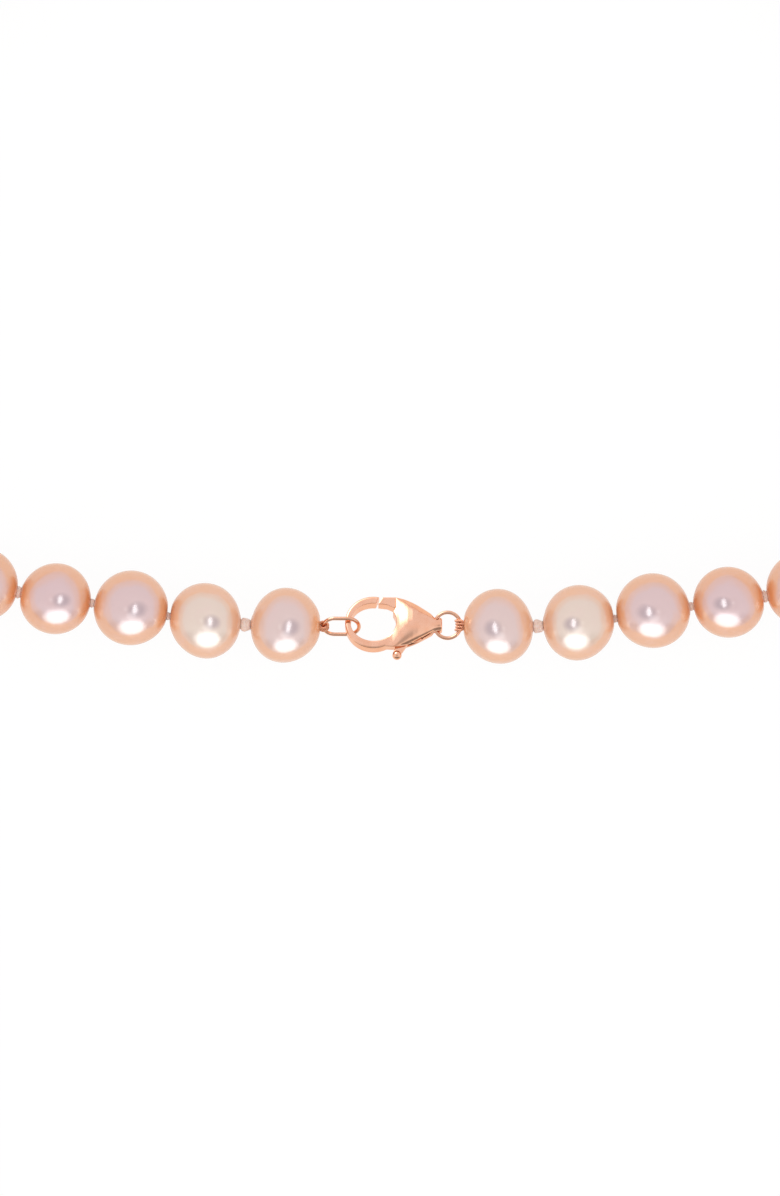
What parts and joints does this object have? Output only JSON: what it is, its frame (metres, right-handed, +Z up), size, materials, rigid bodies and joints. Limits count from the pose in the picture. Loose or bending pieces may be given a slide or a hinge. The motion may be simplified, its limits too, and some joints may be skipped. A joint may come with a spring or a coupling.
{
  "type": "pearl necklace",
  "caption": "Single-strand pearl necklace on knotted silk, closed with a rose gold lobster clasp on two small rings.",
  "frame": {"origin": "middle of the closed loop, on the plane the pearls rest on", "axes": "+Z up off the table, +X to the tail side of the clasp, +Y from the clasp to the front pearl"},
  "size_m": [0.1822, 0.1178, 0.01],
  "materials": {
    "pearl": "satin",
    "rose_gold": "polished",
    "spring_steel": "satin",
    "silk": "matte"
  },
  "bodies": {
    "pearl_front": {"pearl_front": "pearl", "silk_cord": "silk"},
    "pearl_right_21": {"pearl_right_21": "pearl"},
    "pearl_right_20": {"pearl_right_20": "pearl"},
    "pearl_right_19": {"pearl_right_19": "pearl"},
    "pearl_right_18": {"pearl_right_18": "pearl"},
    "pearl_right_17": {"pearl_right_17": "pearl"},
    "pearl_right_16": {"pearl_right_16": "pearl"},
    "pearl_right_15": {"pearl_right_15": "pearl"},
    "pearl_right_14": {"pearl_right_14": "pearl"},
    "pearl_right_13": {"pearl_right_13": "pearl"},
    "pearl_right_12": {"pearl_right_12": "pearl"},
    "pearl_right_11": {"pearl_right_11": "pearl"},
    "pearl_right_10": {"pearl_right_10": "pearl"},
    "pearl_right_09": {"pearl_right_09": "pearl"},
    "pearl_right_08": {"pearl_right_08": "pearl"},
    "pearl_right_07": {"pearl_right_07": "pearl"},
    "pearl_right_06": {"pearl_right_06": "pearl"},
    "pearl_right_05": {"pearl_right_05": "pearl"},
    "pearl_right_04": {"pearl_right_04": "pearl"},
    "pearl_right_03": {"pearl_right_03": "pearl"},
    "pearl_right_02": {"pearl_right_02": "pearl"},
    "pearl_right_01": {"pearl_right_01": "pearl", "wire_guard_right": "rose_gold"},
    "pearl_left_21": {"pearl_left_21": "pearl"},
    "pearl_left_20": {"pearl_left_20": "pearl"},
    "pearl_left_19": {"pearl_left_19": "pearl"},
    "pearl_left_18": {"pearl_left_18": "pearl"},
    "pearl_left_17": {"pearl_left_17": "pearl"},
    "pearl_left_16": {"pearl_left_16": "pearl"},
    "pearl_left_15": {"pearl_left_15": "pearl"},
    "pearl_left_14": {"pearl_left_14": "pearl"},
    "pearl_left_13": {"pearl_left_13": "pearl"},
    "pearl_left_12": {"pearl_left_12": "pearl"},
    "pearl_left_11": {"pearl_left_11": "pearl"},
    "pearl_left_10": {"pearl_left_10": "pearl"},
    "pearl_left_09": {"pearl_left_09": "pearl"},
    "pearl_left_08": {"pearl_left_08": "pearl"},
    "pearl_left_07": {"pearl_left_07": "pearl"},
    "pearl_left_06": {"pearl_left_06": "pearl"},
    "pearl_left_05": {"pearl_left_05": "pearl"},
    "pearl_left_04": {"pearl_left_04": "pearl"},
    "pearl_left_03": {"pearl_left_03": "pearl"},
    "pearl_left_02": {"pearl_left_02": "pearl"},
    "pearl_left_01": {"pearl_left_01": "pearl", "wire_guard_left": "rose_gold"},
    "tail_ring": {"tail_ring": "rose_gold"},
    "clasp_body": {"clasp_body": "rose_gold", "lever_pin": "rose_gold", "lever_spring": "spring_steel"},
    "clasp_lever": {"clasp_lever": "rose_gold"},
    "oval_link": {"oval_link": "rose_gold"}
  },
  "joints": [
    {"name": "knot_right_21", "type": "hinge", "parent": "pearl_front", "child": "pearl_right_21", "pos_m": [0.00505, 0.05401, 0.005], "axis": [0, 0, 1], "range_deg": [-4.84, 4.84], "deforming": ["silk_cord"]},
    {"name": "knot_right_20", "type": "hinge", "parent": "pearl_right_21", "child": "pearl_right_20", "pos_m": [0.01512, 0.05288, 0.005], "axis": [0, 0, 1], "range_deg": [-4.37, 4.37]},
    {"name": "knot_right_19", "type": "hinge", "parent": "pearl_right_20", "child": "pearl_right_19", "pos_m": [0.02478, 0.05068, 0.005], "axis": [0, 0, 1], "range_deg": [-3.47, 3.47]},
    {"name": "knot_right_18", "type": "hinge", "parent": "pearl_right_19", "child": "pearl_right_18", "pos_m": [0.03455, 0.04727, 0.005], "axis": [0, 0, 1], "range_deg": [-2.26, 2.26]},
    {"name": "knot_right_17", "type": "hinge", "parent": "pearl_right_18", "child": "pearl_right_17", "pos_m": [0.0435, 0.04298, 0.005], "axis": [0, 0, 1], "range_deg": [-0.88, 0.88]},
    {"name": "knot_right_16", "type": "hinge", "parent": "pearl_right_17", "child": "pearl_right_16", "pos_m": [0.05207, 0.03761, 0.005], "axis": [0, 0, 1], "range_deg": [-0.56, 0.56]},
    {"name": "knot_right_15", "type": "hinge", "parent": "pearl_right_16", "child": "pearl_right_15", "pos_m": [0.0601, 0.03123, 0.005], "axis": [0, 0, 1], "range_deg": [-1.93, 1.93]},
    {"name": "knot_right_14", "type": "hinge", "parent": "pearl_right_15", "child": "pearl_right_14", "pos_m": [0.06708, 0.02428, 0.005], "axis": [0, 0, 1], "range_deg": [-3.14, 3.14]},
    {"name": "knot_right_13", "type": "hinge", "parent": "pearl_right_14", "child": "pearl_right_13", "pos_m": [0.07353, 0.01623, 0.005], "axis": [0, 0, 1], "range_deg": [-4.08, 4.08]},
    {"name": "knot_right_12", "type": "hinge", "parent": "pearl_right_13", "child": "pearl_right_12", "pos_m": [0.07888, 0.00773, 0.005], "axis": [0, 0, 1], "range_deg": [-4.69, 4.69]},
    {"name": "knot_right_11", "type": "hinge", "parent": "pearl_right_12", "child": "pearl_right_11", "pos_m": [0.08313, -0.00129, 0.005], "axis": [0, 0, 1], "range_deg": [-4.87, 4.87]},
    {"name": "knot_right_10", "type": "hinge", "parent": "pearl_right_11", "child": "pearl_right_10", "pos_m": [0.08605, -0.01121, 0.005], "axis": [0, 0, 1], "range_deg": [-4.6, 4.6]},
    {"name": "knot_right_09", "type": "hinge", "parent": "pearl_right_10", "child": "pearl_right_09", "pos_m": [0.08659, -0.02107, 0.005], "axis": [0, 0, 1], "range_deg": [-3.88, 3.88]},
    {"name": "knot_right_08", "type": "hinge", "parent": "pearl_right_09", "child": "pearl_right_08", "pos_m": [0.0838, -0.03087, 0.005], "axis": [0, 0, 1], "range_deg": [-2.77, 2.77]},
    {"name": "knot_right_07", "type": "hinge", "parent": "pearl_right_08", "child": "pearl_right_07", "pos_m": [0.07754, -0.03891, 0.005], "axis": [0, 0, 1], "range_deg": [-1.41, 1.41]},
    {"name": "knot_right_06", "type": "hinge", "parent": "pearl_right_07", "child": "pearl_right_06", "pos_m": [0.06927, -0.0443, 0.005], "axis": [0, 0, 1], "range_deg": [-0.0452, 0.0452]},
    {"name": "knot_right_05", "type": "hinge", "parent": "pearl_right_06", "child": "pearl_right_05", "pos_m": [0.05954, -0.04781, 0.005], "axis": [0, 0, 1], "range_deg": [-1.43, 1.43]},
    {"name": "knot_right_04", "type": "hinge", "parent": "pearl_right_05", "child": "pearl_right_04", "pos_m": [0.04975, -0.04971, 0.005], "axis": [0, 0, 1], "range_deg": [-2.61, 2.61]},
    {"name": "knot_right_03", "type": "hinge", "parent": "pearl_right_04", "child": "pearl_right_03", "pos_m": [0.03995, -0.05109, 0.005], "axis": [0, 0, 1], "range_deg": [-3.51, 3.51]},
    {"name": "knot_right_02", "type": "hinge", "parent": "pearl_right_03", "child": "pearl_right_02", "pos_m": [0.02979, -0.05279, 0.005], "axis": [0, 0, 1], "range_deg": [-4.11, 4.11]},
    {"name": "knot_right_01", "type": "hinge", "parent": "pearl_right_02", "child": "pearl_right_01", "pos_m": [0.0195, -0.05387, 0.005], "axis": [0, 0, 1], "range_deg": [-4.4, 4.4]},
    {"name": "knot_left_21", "type": "hinge", "parent": "pearl_front", "child": "pearl_left_21", "pos_m": [-0.00505, 0.05401, 0.005], "axis": [0, 0, 1], "range_deg": [-4.84, 4.84]},
    {"name": "knot_left_20", "type": "hinge", "parent": "pearl_left_21", "child": "pearl_left_20", "pos_m": [-0.01512, 0.05288, 0.005], "axis": [0, 0, 1], "range_deg": [-4.37, 4.37]},
    {"name": "knot_left_19", "type": "hinge", "parent": "pearl_left_20", "child": "pearl_left_19", "pos_m": [-0.02478, 0.05068, 0.005], "axis": [0, 0, 1], "range_deg": [-3.47, 3.47]},
    {"name": "knot_left_18", "type": "hinge", "parent": "pearl_left_19", "child": "pearl_left_18", "pos_m": [-0.03455, 0.04727, 0.005], "axis": [0, 0, 1], "range_deg": [-2.26, 2.26]},
    {"name": "knot_left_17", "type": "hinge", "parent": "pearl_left_18", "child": "pearl_left_17", "pos_m": [-0.0435, 0.04298, 0.005], "axis": [0, 0, 1], "range_deg": [-0.88, 0.88]},
    {"name": "knot_left_16", "type": "hinge", "parent": "pearl_left_17", "child": "pearl_left_16", "pos_m": [-0.05207, 0.03761, 0.005], "axis": [0, 0, 1], "range_deg": [-0.56, 0.56]},
    {"name": "knot_left_15", "type": "hinge", "parent": "pearl_left_16", "child": "pearl_left_15", "pos_m": [-0.0601, 0.03123, 0.005], "axis": [0, 0, 1], "range_deg": [-1.93, 1.93]},
    {"name": "knot_left_14", "type": "hinge", "parent": "pearl_left_15", "child": "pearl_left_14", "pos_m": [-0.06708, 0.02428, 0.005], "axis": [0, 0, 1], "range_deg": [-3.14, 3.14]},
    {"name": "knot_left_13", "type": "hinge", "parent": "pearl_left_14", "child": "pearl_left_13", "pos_m": [-0.07353, 0.01623, 0.005], "axis": [0, 0, 1], "range_deg": [-4.08, 4.08]},
    {"name": "knot_left_12", "type": "hinge", "parent": "pearl_left_13", "child": "pearl_left_12", "pos_m": [-0.07888, 0.00773, 0.005], "axis": [0, 0, 1], "range_deg": [-4.69, 4.69]},
    {"name": "knot_left_11", "type": "hinge", "parent": "pearl_left_12", "child": "pearl_left_11", "pos_m": [-0.08313, -0.00129, 0.005], "axis": [0, 0, 1], "range_deg": [-4.87, 4.87]},
    {"name": "knot_left_10", "type": "hinge", "parent": "pearl_left_11", "child": "pearl_left_10", "pos_m": [-0.08605, -0.01121, 0.005], "axis": [0, 0, 1], "range_deg": [-4.6, 4.6]},
    {"name": "knot_left_09", "type": "hinge", "parent": "pearl_left_10", "child": "pearl_left_09", "pos_m": [-0.08659, -0.02107, 0.005], "axis": [0, 0, 1], "range_deg": [-3.88, 3.88]},
    {"name": "knot_left_08", "type": "hinge", "parent": "pearl_left_09", "child": "pearl_left_08", "pos_m": [-0.0838, -0.03087, 0.005], "axis": [0, 0, 1], "range_deg": [-2.77, 2.77]},
    {"name": "knot_left_07", "type": "hinge", "parent": "pearl_left_08", "child": "pearl_left_07", "pos_m": [-0.07754, -0.03891, 0.005], "axis": [0, 0, 1], "range_deg": [-1.41, 1.41]},
    {"name": "knot_left_06", "type": "hinge", "parent": "pearl_left_07", "child": "pearl_left_06", "pos_m": [-0.06927, -0.0443, 0.005], "axis": [0, 0, 1], "range_deg": [-0.0452, 0.0452]},
    {"name": "knot_left_05", "type": "hinge", "parent": "pearl_left_06", "child": "pearl_left_05", "pos_m": [-0.05954, -0.04781, 0.005], "axis": [0, 0, 1], "range_deg": [-1.43, 1.43]},
    {"name": "knot_left_04", "type": "hinge", "parent": "pearl_left_05", "child": "pearl_left_04", "pos_m": [-0.04975, -0.04971, 0.005], "axis": [0, 0, 1], "range_deg": [-2.61, 2.61]},
    {"name": "knot_left_03", "type": "hinge", "parent": "pearl_left_04", "child": "pearl_left_03", "pos_m": [-0.03995, -0.05109, 0.005], "axis": [0, 0, 1], "range_deg": [-3.51, 3.51]},
    {"name": "knot_left_02", "type": "hinge", "parent": "pearl_left_03", "child": "pearl_left_02", "pos_m": [-0.02979, -0.05279, 0.005], "axis": [0, 0, 1], "range_deg": [-4.11, 4.11]},
    {"name": "knot_left_01", "type": "hinge", "parent": "pearl_left_02", "child": "pearl_left_01", "pos_m": [-0.0195, -0.05387, 0.005], "axis": [0, 0, 1], "range_deg": [-4.4, 4.4]},
    {"name": "clasp_lift", "type": "hinge", "parent": "pearl_right_01", "child": "tail_ring", "pos_m": [0.00915, -0.05379, 0.005], "axis": [0, 1, 0], "range_deg": [-18, 18]},
    {"name": "clasp_on_ring", "type": "hinge", "parent": "tail_ring", "child": "clasp_body", "pos_m": [0.00571, -0.05379, 0.005], "axis": [0, 1, 0], "range_deg": [-18.01, 18.01]},
    {"name": "link_on_guard", "type": "hinge", "parent": "pearl_left_01", "child": "oval_link", "pos_m": [-0.00915, -0.05401, 0.005], "axis": [0, 1, 0], "range_deg": [-18.01, 18.01]},
    {"name": "lever_trigger", "type": "hinge", "parent": "clasp_body", "child": "clasp_lever", "pos_m": [0.002, -0.05183, 0.00415], "axis": [0, 0.4067, 0.9135], "range_deg": [0, 16], "stiffness_Nm_per_rad": 0.002, "springref_deg": -5.73, "deforming": ["lever_spring"]}
  ],
  "couplings": [
    {"joint": "knot_right_20", "follows": "knot_right_21", "ratio": 0.90118},
    {"joint": "knot_right_19", "follows": "knot_right_21", "ratio": 0.71624},
    {"joint": "knot_right_18", "follows": "knot_right_21", "ratio": 0.46738},
    {"joint": "knot_right_17", "follows": "knot_right_21", "ratio": 0.18135},
    {"joint": "knot_right_16", "follows": "knot_right_21", "ratio": -0.11525},
    {"joint": "knot_right_15", "follows": "knot_right_21", "ratio": -0.39849},
    {"joint": "knot_right_14", "follows": "knot_right_21", "ratio": -0.64741},
    {"joint": "knot_right_13", "follows": "knot_right_21", "ratio": -0.84293},
    {"joint": "knot_right_12", "follows": "knot_right_21", "ratio": -0.96737},
    {"joint": "knot_right_11", "follows": "knot_right_21", "ratio": -1.0058},
    {"joint": "knot_right_10", "follows": "knot_right_21", "ratio": -0.94941},
    {"joint": "knot_right_09", "follows": "knot_right_21", "ratio": -0.79984},
    {"joint": "knot_right_08", "follows": "knot_right_21", "ratio": -0.57145},
    {"joint": "knot_right_07", "follows": "knot_right_21", "ratio": -0.29056},
    {"joint": "knot_right_06", "follows": "knot_right_21", "ratio": 0.009328},
    {"joint": "knot_right_05", "follows": "knot_right_21", "ratio": 0.29459},
    {"joint": "knot_right_04", "follows": "knot_right_21", "ratio": 0.53839},
    {"joint": "knot_right_03", "follows": "knot_right_21", "ratio": 0.72461},
    {"joint": "knot_right_02", "follows": "knot_right_21", "ratio": 0.84752},
    {"joint": "knot_right_01", "follows": "knot_right_21", "ratio": 0.9079},
    {"joint": "knot_left_21", "follows": "knot_right_21", "ratio": -1},
    {"joint": "knot_left_20", "follows": "knot_right_21", "ratio": -0.90118},
    {"joint": "knot_left_19", "follows": "knot_right_21", "ratio": -0.71624},
    {"joint": "knot_left_18", "follows": "knot_right_21", "ratio": -0.46738},
    {"joint": "knot_left_17", "follows": "knot_right_21", "ratio": -0.18135},
    {"joint": "knot_left_16", "follows": "knot_right_21", "ratio": 0.11525},
    {"joint": "knot_left_15", "follows": "knot_right_21", "ratio": 0.39849},
    {"joint": "knot_left_14", "follows": "knot_right_21", "ratio": 0.64741},
    {"joint": "knot_left_13", "follows": "knot_right_21", "ratio": 0.84293},
    {"joint": "knot_left_12", "follows": "knot_right_21", "ratio": 0.96737},
    {"joint": "knot_left_11", "follows": "knot_right_21", "ratio": 1.0058},
    {"joint": "knot_left_10", "follows": "knot_right_21", "ratio": 0.94941},
    {"joint": "knot_left_09", "follows": "knot_right_21", "ratio": 0.79984},
    {"joint": "knot_left_08", "follows": "knot_right_21", "ratio": 0.57145},
    {"joint": "knot_left_07", "follows": "knot_right_21", "ratio": 0.29056},
    {"joint": "knot_left_06", "follows": "knot_right_21", "ratio": -0.009328},
    {"joint": "knot_left_05", "follows": "knot_right_21", "ratio": -0.29459},
    {"joint": "knot_left_04", "follows": "knot_right_21", "ratio": -0.53839},
    {"joint": "knot_left_03", "follows": "knot_right_21", "ratio": -0.72461},
    {"joint": "knot_left_02", "follows": "knot_right_21", "ratio": -0.84752},
    {"joint": "knot_left_01", "follows": "knot_right_21", "ratio": -0.9079},
    {"joint": "clasp_on_ring", "follows": "clasp_lift", "ratio": -1},
    {"joint": "link_on_guard", "follows": "clasp_lift", "ratio": -1}
  ]
}
